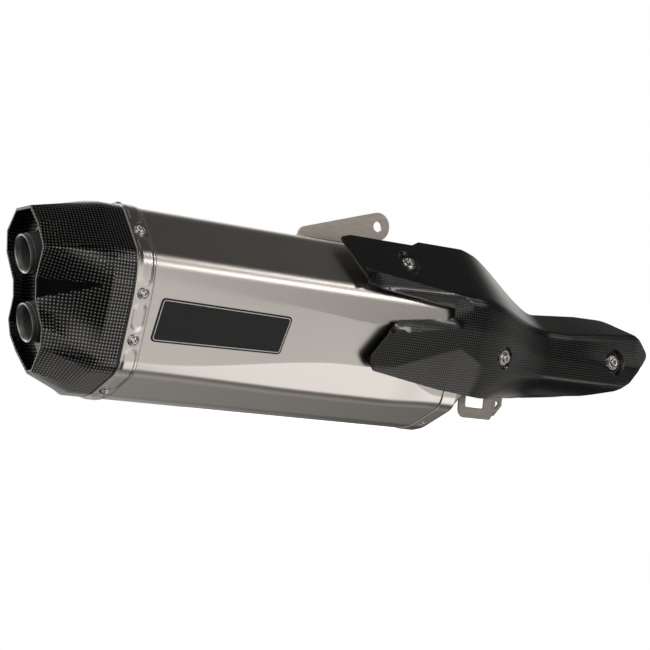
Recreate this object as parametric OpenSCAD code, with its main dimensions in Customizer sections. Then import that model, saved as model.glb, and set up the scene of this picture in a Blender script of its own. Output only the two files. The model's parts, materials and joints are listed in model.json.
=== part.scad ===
// Slip-on motorcycle exhaust: titanium muffler, carbon end cap with twin outlets, link pipe and heat shield.
// +X runs along the muffler towards the engine, +Y inboard, +Z up. Origin: centre of the slip joint's mouth.

/* [Muffler] */
// Length of the sleeve, band edge to band edge
sleeve_len = 405; // [300:5:460]
// Thickness of the titanium sheet
sheet = 1; // [0.8:0.1:1.5]
// Width of the straps at both ends of the sleeve
band_w = 20; // [14:1:26]
// Thickness of the straps
band_t = 1; // [0.6:0.1:1.5]

/* [End cap] */
// Length of the straight collar
collar_len = 22; // [14:1:28]
// Distance from the sleeve's edge to the middle of the mouth
mouth_x = 83; // [70:1:100]
// Lean of the mouth's plane, run over rise
mouth_lean = 0.14; // [0:0.01:0.25]
// Wall of the carbon moulding
cap_wall = 3; // [2:0.25:4]
// Depth of the floor behind the mouth's edge
floor_depth = 12; // [8:1:20]

/* [Outlets] */
// Outside diameter of an outlet
outlet_d = 38.6; // [34:0.2:42]
// Bore at the outlet's lip
lip_bore = 29.6; // [26:0.2:32]
// Downward tilt of the outlets
outlet_tilt = 14; // [8:1:18]
// Outside diameter of a core tube
core_d = 42; // [38:1:46]

/* [Link pipe] */
// Outside diameter of the link pipe
pipe_d = 57; // [54:0.5:58]
// Bore of the slip joint
socket_bore = 57.3; // [57.2:0.1:57.5]
// Length of the slip joint
socket_len = 40; // [36:1:44]
// Bend radius of the link pipe
bend_r = 150; // [130:5:180]
// Angle of each of the two bends
bend_a = 25; // [20:1:28]

/* [Heat shield] */
// Thickness of the carbon laminate
laminate = 2.4; // [1.6:0.2:3]
// Gap between the sleeve and the shield's outside
stand_off = 13; // [11:0.5:14]
// Radius of the part that covers the pipe
cover_r = 54; // [50:1:58]

/* [Brackets] */
// Thickness of the hanger plate
hanger_t = 3; // [2.5:0.5:4]
// Diameter of the hanger's bolt hole
hanger_hole_d = 11.6; // [10.2:0.1:12]
// Thickness of the lower bracket
bracket_t = 2; // [1.5:0.5:3]

/* [Fasteners] */
// Shank diameter of the rear screws
screw_d = 4.8; // [4:0.1:5]
// Shank diameter of the heat shield's screws
shield_screw_d = 6; // [5:0.5:6]

/* [Hidden] */
$fn = 96;
eps = 0.01;

// Section of the sleeve: corners [y, z, radius], seen from the front, outer side first
section = [[-50, 15, 60], [-50, 42, 25], [-4, 92, 25], [50, 96, 20], [70, 70, 18],
           [72, -60, 25], [52, -97, 20], [22, -91.5, 40], [-29, -68, 20]];
sides = len(section);

function corner(i) = let (c = section[(i + sides) % sides]) [c[0], c[1]];
function unit(v) = v / norm(v);
function along(i) = unit(corner(i + 1) - corner(i));
// Outward normal of the side from corner i to corner i + 1
function outward(i) = [-along(i)[1], along(i)[0]];
// Half of the turn at corner i
function half_turn(i) = acos(along(i - 1) * along(i)) / 2;
function arc_centre(i) = let (r = section[i][2])
    corner(i) - outward(i - 1) * r + along(i - 1) * -r * tan(half_turn(i));

// Extrudes a (y, z) drawing from x over a length
module along_x(x, length) translate([x, 0, 0]) rotate([90, 0, 90]) linear_extrude(length) children();
// A cylinder along +X from a point
module rod_x(p, r, length) translate(p) rotate([0, 90, 0]) cylinder(r = r, h = length);
// The section moved inwards by inset: each corner is an arc of equal short steps
arc_step = 7.5;
function outline(inset) = [for (i = [0:sides - 1])
    let (n = outward(i - 1), start = atan2(n[1], n[0]), turn = 2 * half_turn(i), steps = ceil(turn / arc_step))
    for (k = [0:steps]) let (a = start - turn * k / steps)
        arc_centre(i) + (section[i][2] - inset) * [cos(a), sin(a)]];
// A bar of that section
module bar(x, length, inset = 0) along_x(x, length) polygon(outline(inset));
module ring(x, length, outer, inner) difference() {
    bar(x, length, outer);
    bar(x - 1, length + 2, inner);
}
// Places children, drawn along +Z, at a point [x, y, z] with their +Z along [0, n0, n1]
module on_normal(p, n) translate(p) rotate([atan2(n[1], n[0]) - 90, 0, 0]) children();
// Moves the muffler's own frame (its rear edge at x = 0) to the frame of the part
module placed() translate(-mouth) children();

// Rear fasteners: side of the section and place along it
rear_places = [[1, 0.49], [8, 0.9], [8, 0.37], [7, 0.2], [2, 0.55], [4, 0.15], [4, 0.62], [5, 0.5]];
function side_point(place, lift = 0) = let (i = place[0])
    corner(i) * (1 - place[1]) + corner(i + 1) * place[1] + outward(i) * lift;
module at_sides(x, lift) for (place = rear_places) {
    p = side_point(place, lift);
    on_normal([x, p[0], p[1]], outward(place[0])) children();
}
screw_x = band_w / 2;
rivet_x = sleeve_len - band_w / 2;

// End cap: the mouth's two lobes and the waist between them, [y, z]
upper_lobe = [[-36, 38], [-24, 61], [-8, 77], [26, 76], [50, 57], [53, 36], [39, 9], [-16, 9]];
// The waist grows up and down into the lobes by the wall, so that a recess made from it stays one opening
function waist(wall) = [[-16 + wall, 9 + wall], [39 - wall, 9 + wall], [40 - wall, -6 - wall],
    [-15 + wall, -6 - wall]];
lower_lobe = [[-15, -6], [40, -6], [53, -27], [50, -43], [37, -58], [12, -78], [0, -76], [-23, -53],
    [-27, -35]];
upper_centre = [8, 38];
lower_centre = [12, -36];
waist_top = 12;
waist_bottom = -15;
outlet_y = 8;
outlet_upper = [-90.3, outlet_y, 32.3];
outlet_lower = [-81.4, outlet_y, -31.2];
baffle_x = 24;
baffle_t = 1.5;
front_baffle_x = 360;
core_r = core_d / 2;
core_wall = 1.2;
function core_z(outlet) = outlet[2] + (baffle_x - outlet[0]) * tan(outlet_tilt);
core_upper = [baffle_x, outlet_y, core_z(outlet_upper)];
core_lower = [baffle_x, outlet_y, core_z(outlet_lower)];

// Link pipe: level at the muffler, two equal bends up to the level slip joint
pipe_r = pipe_d / 2;
pipe_wall = 1.2;
pipe_y = 12;
pipe_z = -22;
pipe_start = sleeve_len + 15;
bend_x = 496;
rise = 2 * bend_r * (1 - cos(bend_a));
bend_end = bend_x + 2 * bend_r * sin(bend_a);
socket_neck = 9;
socket_z = pipe_z + rise;
socket_r = socket_bore / 2;
socket_wall = 1.3;
mouth = [bend_end + socket_neck + socket_len, pipe_y, socket_z];
clamp_x = mouth[0] - 24;
clamp_w = 16;
clamp_t = 1.3;
clamp_r = socket_r + socket_wall;
ear_gap = 8;
ear_y = pipe_y + clamp_r + 10;

module outer_sleeve() placed() color("silver") difference() {
    ring(0, sleeve_len, 0, sheet);
    at_sides(screw_x, -5) cylinder(d = screw_d + 0.4, h = 10);
    at_sides(rivet_x, -5) cylinder(d = 3.4, h = 10);
}
module rear_band() placed() color("gainsboro") difference() {
    ring(0, band_w, -band_t, 0);
    at_sides(screw_x, -5) cylinder(d = screw_d + 0.4, h = 10);
}
module front_band() placed() color("gainsboro") difference() {
    ring(sleeve_len - band_w, band_w, -band_t, 0);
    at_sides(rivet_x, -5) cylinder(d = 3.4, h = 10);
}
module rear_cups() placed() color("lightgrey") at_sides(screw_x, band_t) difference() {
    union() {
        cylinder(d = 11, h = 0.8);
        cylinder(d1 = 11, d2 = 9.6, h = 1.6);
    }
    translate([0, 0, 0.8]) cylinder(d = 8.8, h = 2);
    translate([0, 0, -1]) cylinder(d = screw_d + 0.4, h = 4);
}
module rear_screws() placed() color("whitesmoke") at_sides(screw_x, band_t + 0.8) difference() {
    union() {
        translate([0, 0, -11]) cylinder(d = screw_d, h = 11);
        cylinder(d = 8.4, h = 1);
        translate([0, 0, 1]) cylinder(d1 = 8.4, d2 = 5.6, h = 1.5);
    }
    translate([0, 0, 0.9]) cylinder(d = 3.5, h = 3, $fn = 6);
}
module rear_inserts() placed() color("grey") at_sides(screw_x, -sheet - cap_wall - 5) difference() {
    cylinder(d = 10, h = 4.9);
    translate([0, 0, -1]) cylinder(d = screw_d, h = 8);
}
module front_rivets() placed() color("lightgrey") at_sides(rivet_x, 0) {
    translate([0, 0, -sheet - 2.2]) cylinder(d = 3.2, h = sheet + 2.2 + band_t);
    translate([0, 0, band_t]) cylinder(d1 = 6.4, d2 = 3.6, h = 1.2);
}

// A flat (y, z) drawing set in the mouth's leaning plane
module in_mouth(depth) multmatrix([[1, 0, -mouth_lean, depth - mouth_x], [0, 1, 0, 0], [0, 0, 1, 0]])
    rotate([90, 0, 90]) linear_extrude(eps) children();
function shrunk(points, centre, wall) = [for (p = points)
    let (d = p - centre) centre + d * (1 - wall / norm(d))];
module collar_slice(inset, low, high) intersection() {
    bar(-collar_len, eps, inset);
    translate([-100, -100, low]) cube([200, 200, high - low]);
}
// One tapering body from a slice of the collar to one outline in the mouth
module taper(points, inset, low, high, depth) hull() {
    collar_slice(inset, low, high);
    in_mouth(depth) polygon(points);
}
module cap_body(wall, depth) {
    taper(shrunk(upper_lobe, upper_centre, wall), wall, waist_top, 100, depth);
    taper(waist(wall), wall, waist_bottom - wall, waist_top + wall, depth);
    taper(shrunk(lower_lobe, lower_centre, wall), wall, -100, waist_bottom, depth);
}
module cap_floor() multmatrix([[1, 0, -mouth_lean, floor_depth - mouth_x], [0, 1, 0, 0], [0, 0, 1, 0]])
    translate([0, -100, -120]) cube([2.5, 200, 240]);
module outlet_rod(p, r, length) translate(p) rotate([0, 90 - outlet_tilt, 0]) translate([0, 0, -length / 2])
    cylinder(r = r, h = length);
module end_cap() placed() color("darkslategrey") {
    difference() {
        cap_body(0, 0);
        difference() {
            cap_body(cap_wall, -2);
            cap_floor();
        }
        for (p = [outlet_upper, outlet_lower]) outlet_rod(p, outlet_d / 2 + 0.2, 120);
    }
    ring(-collar_len, collar_len, 0, cap_wall);
    difference() {
        ring(-eps, band_w, sheet, sheet + cap_wall);
        at_sides(screw_x, -9) cylinder(d = screw_d + 0.4, h = 10);
    }
}

// An outlet: a thick turned lip, then a plain tube up to the rear baffle
module outlet_tube(p) placed() color("dimgrey") {
    r = outlet_d / 2;
    intersection() {
        translate(p) rotate([0, 90 - outlet_tilt, 0]) rotate_extrude() polygon([[r - 1, 0], [r, 1], [r, 140],
            [r - 1.5, 140], [r - 1.5, 24], [lip_bore / 2, 20], [lip_bore / 2, 6], [r - 1.8, 0]]);
        translate([-150, -100, -150]) cube([150 + baffle_x, 200, 300]);
    }
}
module outlet_tube_upper() outlet_tube(outlet_upper);
module outlet_tube_lower() outlet_tube(outlet_lower);

module baffle(x, r) placed() color("silver") difference() {
    bar(x, baffle_t, sheet);
    for (c = [core_upper, core_lower]) rod_x([x - 1, c[1], c[2]], r, 5);
}
module rear_baffle() baffle(baffle_x, outlet_d / 2 - 1.5);
module front_baffle() baffle(front_baffle_x, core_r);
core_start = baffle_x + baffle_t;
core_len = front_baffle_x + baffle_t + 6 - core_start;
perforations = 8;
module core_tube(c) placed() color("silver") difference() {
    rod_x([core_start, c[1], c[2]], core_r, core_len);
    rod_x([core_start - 1, c[1], c[2]], core_r - core_wall, core_len + 2);
    for (k = [1:perforations]) translate([core_start + core_len * k / (perforations + 1), c[1], c[2]])
        for (a = [0, 90]) rotate([a, 0, 0]) cylinder(d = 8, h = core_d + 2, center = true);
}
module core_tube_upper() core_tube(core_upper);
module core_tube_lower() core_tube(core_lower);
module packing_mat() placed() color("khaki") difference() {
    bar(core_start, front_baffle_x - core_start, sheet);
    for (c = [core_upper, core_lower]) rod_x([core_start - 1, c[1], c[2]], core_r, front_baffle_x);
}
// Chamber that joins the link pipe to both core tubes
splitter_x = front_baffle_x + baffle_t;
module splitter_body(inset) hull() {
    for (c = [core_upper, core_lower]) rod_x([splitter_x, c[1], c[2]], core_r + 3 - inset, 8);
    rod_x([pipe_start - 6, pipe_y, pipe_z], pipe_r - inset, 6);
}
module inlet_splitter() placed() color("silver") difference() {
    splitter_body(0);
    splitter_body(1.5);
    for (c = [core_upper, core_lower]) rod_x([splitter_x - 1, c[1], c[2]], core_r, 10);
    rod_x([pipe_start - 8, pipe_y, pipe_z], pipe_r - 1.5, 10);
}

// Drawn cap: a skirt inside the sleeve, then a short taper to a flat ring round the pipe
ring_face_r = 42;
cap_taper = 20;
module front_taper(inset) hull() {
    bar(sleeve_len - eps, eps, sheet + inset);
    rod_x([sleeve_len + cap_taper - inset, pipe_y, pipe_z], ring_face_r - inset, eps);
}
module front_cap() placed() color("silver") difference() {
    union() {
        front_taper(0);
        ring(sleeve_len - band_w, band_w, sheet, sheet + 1.2);
    }
    front_taper(1.2);
    rod_x([sleeve_len, pipe_y, pipe_z], pipe_r, 60);
    at_sides(rivet_x, -5) cylinder(d = 3.4, h = 10);
}
module pipe_collar() placed() color("gainsboro") difference() {
    rod_x([sleeve_len + cap_taper, pipe_y, pipe_z], pipe_r + 5, 4);
    rod_x([sleeve_len, pipe_y, pipe_z], pipe_r, 60);
}

// The link pipe: a rear half, level then bent up, and a front half, bent back to level
module pipe_wall_section() difference() {
    circle(r = pipe_r);
    circle(r = pipe_r - pipe_wall);
}
module link_pipe_rear() placed() color("silver") {
    along_x(pipe_start, bend_x - pipe_start) translate([pipe_y, pipe_z]) pipe_wall_section();
    translate([bend_x, pipe_y, pipe_z + bend_r]) rotate([90, 0, 0]) rotate([0, 0, -90])
        rotate_extrude(angle = bend_a) translate([bend_r, 0]) pipe_wall_section();
}
module link_pipe_front() placed() color("silver")
    translate([bend_end, pipe_y, socket_z - bend_r]) rotate([90, 0, 0]) rotate([0, 0, 90])
    rotate_extrude(angle = bend_a) translate([bend_r, 0]) pipe_wall_section();
// Weld between the two halves, on the slope of the pipe's middle
module pipe_weld() placed() color("dimgrey")
    translate([(bend_x + bend_end) / 2, pipe_y, (pipe_z + socket_z) / 2]) rotate([0, 90 - bend_a, 0])
    rotate_extrude() translate([pipe_r, 0]) difference() {
        circle(r = 1.6, $fn = 24);
        translate([-4, -2]) square([4, 4]);
    }
// What is cut from a piece that stands on the pipe's level stretches
module pipe_clearance() {
    rod_x([pipe_start, pipe_y, pipe_z], pipe_r, bend_x - pipe_start);
    rod_x([bend_end - 15, pipe_y, socket_z], pipe_r, 15 + socket_neck - flare);
}
slot_w = 2.5;
slot_len = 28;
flare = 4;
// A neck of the pipe's own size, a short flare, then the expanded and slotted end
module slip_socket() placed() color("gainsboro") difference() {
    translate([bend_end, pipe_y, socket_z]) rotate([0, 90, 0]) rotate_extrude() polygon([
        [pipe_r - pipe_wall, 0], [pipe_r, 0], [pipe_r, socket_neck - flare], [clamp_r, socket_neck],
        [clamp_r, socket_neck + socket_len], [socket_r, socket_neck + socket_len], [socket_r, socket_neck + 2],
        [pipe_r - pipe_wall, socket_neck + 2]]);
    for (a = [45:90:359]) translate([mouth[0] - slot_len, pipe_y, socket_z]) rotate([a, 0, 0])
        translate([0, -slot_w / 2, 0]) cube([slot_len + 1, slot_w, clamp_r + 5]);
}

// The slip joint's clamp, with its ears inboard
module clamp_band() placed() color("lightgrey") difference() {
    union() {
        rod_x([clamp_x, pipe_y, socket_z], clamp_r + clamp_t, clamp_w);
        for (s = [-1, 1]) translate([clamp_x, pipe_y + clamp_r - 2, socket_z + s * (ear_gap + clamp_t) / 2])
            translate([0, 0, -clamp_t / 2]) cube([clamp_w, 20, clamp_t]);
    }
    rod_x([clamp_x - 1, pipe_y, socket_z], clamp_r, clamp_w + 2);
    translate([clamp_x - 1, pipe_y, socket_z - ear_gap / 2]) cube([clamp_w + 2, clamp_r + 30, ear_gap]);
    translate([clamp_x + clamp_w / 2, ear_y, socket_z - 20]) cylinder(d = 6.4, h = 40);
}
block_t = 4;
ear_face = ear_gap / 2 + clamp_t;
module clamp_blocks() placed() color("grey") difference() {
    for (s = [-1, 1]) translate([clamp_x + 1, ear_y - 5, socket_z + s * (ear_face + block_t / 2) - block_t / 2])
        cube([clamp_w - 2, 10, block_t]);
    translate([clamp_x + clamp_w / 2, ear_y, socket_z - 20]) cylinder(d = 6.4, h = 40);
}
module clamp_bolt() placed() color("whitesmoke")
    translate([clamp_x + clamp_w / 2, ear_y, socket_z + ear_face + block_t]) difference() {
    union() {
        cylinder(d = 10, h = 6);
        translate([0, 0, -28]) cylinder(d = 6, h = 28);
    }
    translate([0, 0, 3]) cylinder(d = 5.8, h = 4, $fn = 6);
}
module clamp_nut() placed() color("whitesmoke")
    translate([clamp_x + clamp_w / 2, ear_y, socket_z - ear_face - block_t - 5.2]) difference() {
    cylinder(d = 11.5, h = 5.2, $fn = 6);
    translate([0, 0, -1]) cylinder(d = 6, h = 8);
}

// Heat shield: its section turns from one that follows the sleeve into a half round over the pipe
rows = 12;
columns = 20;
shield_from = 244;
shield_to = 690;
morph_from = 405;
morph_to = 530;
cover_y = 18;
function follow_sleeve(off) = [[-30 - off, -68], [-50 - off, 15], [-50 - off, 42 + off * 0.4],
                               [-4 - off * 0.74 + 6, 92 + off * 0.68 + 6.5]];
function at_row(points, j) = let (k = [0, 5, 7, 12], s = j < 5 ? 0 : j < 7 ? 1 : 2,
    f = (j - k[s]) / (k[s + 1] - k[s]))
    points[s] * (1 - f) + points[s + 1] * f;
function cover_z(x) = 1 + 8 * min(1, max(0, (x - morph_to) / 120));
function over_pipe(x, j, r) = let (a = 152 * (j / rows - 0.5))
    [cover_y - r * cos(a), cover_z(x) + r * sin(a)];
function ease(t) = t * t * (3 - 2 * t);
function shield_point(x, j, inset) = let (t = ease(min(1, max(0, (x - morph_from) / (morph_to - morph_from)))),
    p = at_row(follow_sleeve(stand_off - inset), j) * (1 - t) + over_pipe(x, j, cover_r - inset) * t)
    [x, p[0], p[1]];
module shield_sheet() {
    per_side = (columns + 1) * (rows + 1);
    points = [for (inset = [0, laminate]) for (i = [0:columns]) for (j = [0:rows])
        shield_point(shield_from + (shield_to - shield_from) * i / columns, j, inset)];
    function at(i, j, s) = s * per_side + i * (rows + 1) + j;
    outside = [for (i = [0:columns - 1]) for (j = [0:rows - 1])
        each [[at(i, j, 0), at(i + 1, j, 0), at(i + 1, j + 1, 0)],
            [at(i, j, 0), at(i + 1, j + 1, 0), at(i, j + 1, 0)]]];
    inside = [for (f = outside) [f[2] + per_side, f[1] + per_side, f[0] + per_side]];
    low = [for (i = [0:columns - 1]) each [[at(i, 0, 0), at(i, 0, 1), at(i + 1, 0, 1)],
        [at(i, 0, 0), at(i + 1, 0, 1), at(i + 1, 0, 0)]]];
    high = [for (i = [0:columns - 1]) each [[at(i, rows, 0), at(i + 1, rows, 1), at(i, rows, 1)],
        [at(i, rows, 0), at(i + 1, rows, 0), at(i + 1, rows, 1)]]];
    rear = [for (j = [0:rows - 1]) each [[at(0, j, 0), at(0, j + 1, 1), at(0, j, 1)],
        [at(0, j, 0), at(0, j + 1, 0), at(0, j + 1, 1)]]];
    front = [for (j = [0:rows - 1]) each [[at(columns, j, 0), at(columns, j, 1), at(columns, j + 1, 1)],
        [at(columns, j, 0), at(columns, j + 1, 1), at(columns, j + 1, 0)]]];
    polyhedron(points, [for (f = concat(outside, inside, low, high, rear, front)) [f[2], f[1], f[0]]]);
}
// Side view of the shield, [x, z]: upper arm, slot, lower arm, pipe cover with its pointed nose
shield_outline = [[248, 97], [250, 88], [255, 74], [258, 63], [262, 56], [270, 52], [305, 46.5], [331, 43],
    [369, 38], [376, 32], [373, 26], [298, 15], [291, 9], [273, -29], [277, -36], [286, -40], [351, -48],
    [407, -55], [450, -57], [510, -54], [560, -49], [600, -41], [630, -34], [651, -27], [660, -18], [670, 1],
    [678, 11], [682, 19], [681, 28], [675, 37], [668, 43], [650, 48], [600, 54], [545, 56], [528, 60],
    [512, 68],
    [481, 83], [461, 94], [439, 100], [415, 103], [350, 102], [342, 99], [262, 99]];
chamfer_n = outward(1);
upper_seat = [327, -19.5 + chamfer_n[0] * stand_off, 75 + chamfer_n[1] * stand_off];
middle_seat = [460, -48.6, -7];
front_seat = [622, -35.7, 3];
outboard = [-1, 0];
// The three fixings of the shield, each drawn along +Z out of the shield's outer face
module at_seats() {
    on_normal(upper_seat, chamfer_n) children(0);
    on_normal(middle_seat, outboard) children(1);
    on_normal(front_seat, outboard) children(2);
}
module heat_shield() placed() color("black") difference() {
    intersection() {
        shield_sheet();
        translate([0, 60, 0]) rotate([90, 0, 0]) linear_extrude(140) polygon(shield_outline);
    }
    at_seats() {
        translate([0, 0, -10]) cylinder(d = shield_screw_d + 1, h = 20);
        translate([0, 0, -10]) cylinder(d = shield_screw_d + 1, h = 20);
        translate([0, 0, -10]) cylinder(d = shield_screw_d + 1, h = 20);
    }
}
spacer_t = 1.6;
spacer_top = laminate + 0.3;
post_top = spacer_top + spacer_t;
module drilled(d, bore, from, to) difference() {
    translate([0, 0, -from]) cylinder(d = d, h = from - to);
    translate([0, 0, -from - 1]) cylinder(d = bore, h = from - to + 2);
}
module shield_posts() placed() color("silver") difference() {
    at_seats() {
        drilled(16, shield_screw_d, stand_off, post_top);
        drilled(14, shield_screw_d, 40, post_top);
        drilled(9, shield_screw_d, 24, post_top);
    }
    pipe_clearance();
    bar(0, sleeve_len);
}
module shield_spacers() placed() color("tan") at_seats() {
    drilled(18, shield_screw_d + 1, post_top, spacer_top);
    drilled(18, shield_screw_d + 1, post_top, spacer_top);
    drilled(18, shield_screw_d + 1, post_top, spacer_top);
}
washer_t = 1;
washer_lift = 0.3;
module washer() translate([0, 0, washer_lift]) difference() {
    cylinder(d = 16, h = washer_t);
    translate([0, 0, -1]) cylinder(d = shield_screw_d + 0.4, h = 4);
}
module shield_washers() placed() color("grey") at_seats() {
    washer();
    washer();
    washer();
}
module flanged_screw(length) translate([0, 0, washer_lift + washer_t]) difference() {
    union() {
        cylinder(d = 13, h = 1.2);
        translate([0, 0, 1.2]) cylinder(d1 = 11, d2 = 8, h = 3);
        translate([0, 0, -length]) cylinder(d = shield_screw_d, h = length);
    }
    translate([0, 0, 1.6]) cylinder(d = 4.6, h = 4, $fn = 6);
}
module shield_screws() placed() color("whitesmoke") at_seats() {
    flanged_screw(9);
    flanged_screw(16);
    flanged_screw(16);
}

// Hanger on the sleeve's top side
top_tilt = atan2(along(2)[1], along(2)[0]);
hanger_y = 30;
hole_at = [325, 120.5];
tip_r = 15.5;
pad_t = 2;
module on_top() translate([0, corner(2)[0], corner(2)[1]]) rotate([top_tilt, 0, 0]) children();
module hanger_foot() placed() color("silver") on_top() translate([222, 16, 0]) cube([118, 24, pad_t]);
module hanger_layer(length) translate([0, hanger_y + length / 2, 0]) rotate([90, 0, 0]) linear_extrude(length)
    children();
module hanger_bracket() placed() color("silver") difference() {
    union() {
        hanger_layer(hanger_t) polygon([[222, 92], [225.5, 104], [230, 107], [320.5, 135.3], hole_at,
            [333, 108], [333, 92]]);
        hanger_layer(hanger_t) translate(hole_at) circle(r = tip_r);
    }
    hanger_layer(hanger_t + 2) translate(hole_at) circle(d = hanger_hole_d);
    on_top() translate([200, -50, -60]) cube([160, 120, 60 + pad_t]);
}

// Stamped bracket under the pipe: a windowed plate and a leg folded towards the middle
bracket_y = -15;
fold_x = 469;
fold_a = 45;
module lower_bracket() placed() color("silver") difference() {
    union() {
        translate([0, bracket_y + bracket_t, 0]) rotate([90, 0, 0]) linear_extrude(bracket_t) difference() {
            polygon([[421, -24], [421, -66], [428, -74], [462, -77], [fold_x, -72], [fold_x, -24]]);
            translate([430, -67]) square([26, 15]);
        }
        translate([fold_x, bracket_y + bracket_t, 0]) rotate([0, 0, fold_a]) rotate([90, 0, 0])
            linear_extrude(bracket_t) difference() {
            polygon([[-1, -30], [-1, -72], [4, -72], [26, -54], [26, -30]]);
            polygon([[6, -64], [18, -53], [6, -53]]);
        }
    }
    pipe_clearance();
}

// Blank badge on the lower outer side of the sleeve
badge_t = 0.8;
lean = atan2(-outward(8)[1], -outward(8)[0]);
module badge_plate() placed() color("black") translate([0, corner(9)[0], corner(9)[1]])
    rotate([lean, 0, 0]) rotate([90, 0, 0]) {
    translate([36, -48, 0]) cube([138, 38, badge_t]);
    translate([33, -45, 0]) cube([144, 32, badge_t]);
    for (x = [36, 174]) for (z = [-45, -13]) translate([x, z, 0]) cylinder(r = 3, h = badge_t);
}

outer_sleeve();
rear_band();
rear_cups();
rear_screws();
rear_inserts();
front_band();
front_rivets();
end_cap();
outlet_tube_upper();
outlet_tube_lower();
rear_baffle();
front_baffle();
core_tube_upper();
core_tube_lower();
packing_mat();
inlet_splitter();
front_cap();
pipe_collar();
link_pipe_rear();
link_pipe_front();
pipe_weld();
slip_socket();
clamp_band();
clamp_blocks();
clamp_bolt();
clamp_nut();
heat_shield();
shield_posts();
shield_spacers();
shield_washers();
shield_screws();
hanger_foot();
hanger_bracket();
lower_bracket();
badge_plate();
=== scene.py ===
"""Looks of a slip-on motorcycle exhaust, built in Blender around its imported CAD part.

Lengths are in millimetres in the muffler's own frame: x = 0 at the sleeve's rear edge and growing towards the
engine, y inboard, z up. placed() takes them to metres in the frame of the part.
"""

import json
import math

import bmesh
import bpy
import numpy as np
from mathutils import Matrix, Vector
from mathutils.geometry import delaunay_2d_cdt


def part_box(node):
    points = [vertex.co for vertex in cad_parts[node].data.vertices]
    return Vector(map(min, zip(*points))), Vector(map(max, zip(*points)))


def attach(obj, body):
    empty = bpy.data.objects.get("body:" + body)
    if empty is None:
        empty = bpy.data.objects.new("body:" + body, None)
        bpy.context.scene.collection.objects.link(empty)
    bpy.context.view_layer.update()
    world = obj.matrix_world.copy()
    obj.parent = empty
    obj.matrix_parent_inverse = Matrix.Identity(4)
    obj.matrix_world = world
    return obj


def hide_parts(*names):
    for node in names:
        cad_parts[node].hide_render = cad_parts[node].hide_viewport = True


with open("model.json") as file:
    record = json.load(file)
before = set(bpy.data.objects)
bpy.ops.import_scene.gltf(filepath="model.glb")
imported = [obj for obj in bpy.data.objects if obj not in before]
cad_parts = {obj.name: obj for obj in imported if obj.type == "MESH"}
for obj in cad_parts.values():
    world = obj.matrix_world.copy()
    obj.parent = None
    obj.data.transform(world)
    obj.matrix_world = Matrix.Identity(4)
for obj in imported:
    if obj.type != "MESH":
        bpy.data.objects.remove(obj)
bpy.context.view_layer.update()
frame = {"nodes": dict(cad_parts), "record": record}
scene = bpy.context.scene

# ---------------------------------------------------------------- frame and camera
MM = 0.001
MUFFLER_Y, MUFFLER_Z = -0.012, -0.006108
MUFFLER = Vector((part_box("outer_sleeve")[0].x, MUFFLER_Y, MUFFLER_Z))
# Where the camera stands, in metres, and which way its right side, its top and its back point
CAMERA_AT = (-1.348885, -1.406900, -0.107008)
CAMERA_RIGHT = (0.82632, -0.55534, 0.09377)
CAMERA_UP = (-0.11276, 0.0, 0.99362)
CAMERA_BACK = (-0.55180, -0.83163, -0.06262)
LENS, SENSOR_WIDTH = 89.17, 36


def placed(p):
    """A point of the muffler's frame, in metres in the part's frame."""
    return MUFFLER + Vector((float(p[0]), float(p[1]), float(p[2]))) * MM


def build_camera():
    camera = bpy.data.objects.new("camera", bpy.data.cameras.new("camera"))
    scene.collection.objects.link(camera)
    axes = Matrix((CAMERA_RIGHT, CAMERA_UP, CAMERA_BACK)).transposed().to_4x4()
    camera.matrix_world = Matrix.Translation(CAMERA_AT) @ axes
    camera.data.lens = LENS
    camera.data.sensor_width = SENSOR_WIDTH
    scene.camera = camera


build_camera()
scene.view_settings.view_transform = "Standard"

# ---------------------------------------------------------------- studio: surroundings and floor
SURROUNDINGS = 0.04
SOFT_TINT = (1.0, 0.975, 0.945)
# Soft lights added up by direction: centre, half angle where it ends in degrees, strength
SOFT_BOXES = [
    ((0.55, -0.74, 0.39), 17, 1.3),
    ((0.55, -0.74, 0.39), 5, 9.0),
    ((0.55, -0.60, -0.58), 16, 1.6),
    ((0.55, -0.46, 0.70), 14, 0.9),
    ((0.55, -0.46, 0.70), 4, 8.0),
    ((0.22, -0.96, -0.18), 32, 0.95),
    ((-0.15, -0.97, 0.12), 30, 0.3),
    ((0.86, -0.40, -0.32), 32, 0.4),
    ((0.60, 0.30, 0.74), 25, 0.06),
    ((-0.19, 0.71, 0.68), 20, 3.5),
    ((0.27, 0.86, 0.43), 32, 0.6),
    ((0.58, 0.70, 0.42), 22, 0.4),
    ((-0.55, 0.79, 0.28), 32, 1.0),
    ((-0.40, 0.10, 0.90), 40, 0.3),
    ((-0.80, -0.46, 0.38), 35, 1.3),
    ((-0.92, -0.29, -0.27), 30, 0.4),
    ((0.33, 0.36, -0.88), 32, 0.35),
    ((0.18, -0.13, -0.98), 32, 0.3),
    ((0.99, 0.13, -0.07), 32, 0.3),
    ((0.00, 0.95, -0.30), 40, 0.7),
    ((0.90, 0.40, 0.05), 35, 0.5),
]


def mapped(nodes, links, value, low, high):
    """A value eased from 0 at low to 1 at high. Low may be the larger of the two."""
    step = nodes.new("ShaderNodeMapRange")
    step.interpolation_type = "SMOOTHSTEP"
    step.inputs["From Min"].default_value = low
    step.inputs["From Max"].default_value = high
    links.new(value, step.inputs["Value"])
    return step.outputs["Result"]


def mixed(nodes, links, factor, a, b):
    """A colour mixed from a to b; each is a colour or a socket, and so is the factor."""
    mix = nodes.new("ShaderNodeMix")
    mix.data_type = "RGBA"
    for value, socket in ((factor, mix.inputs[0]), (a, mix.inputs[6]), (b, mix.inputs[7])):
        if isinstance(value, bpy.types.NodeSocket):
            links.new(value, socket)
        else:
            socket.default_value = value if isinstance(value, float) else (*value, 1)
    return mix.outputs[2]


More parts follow.
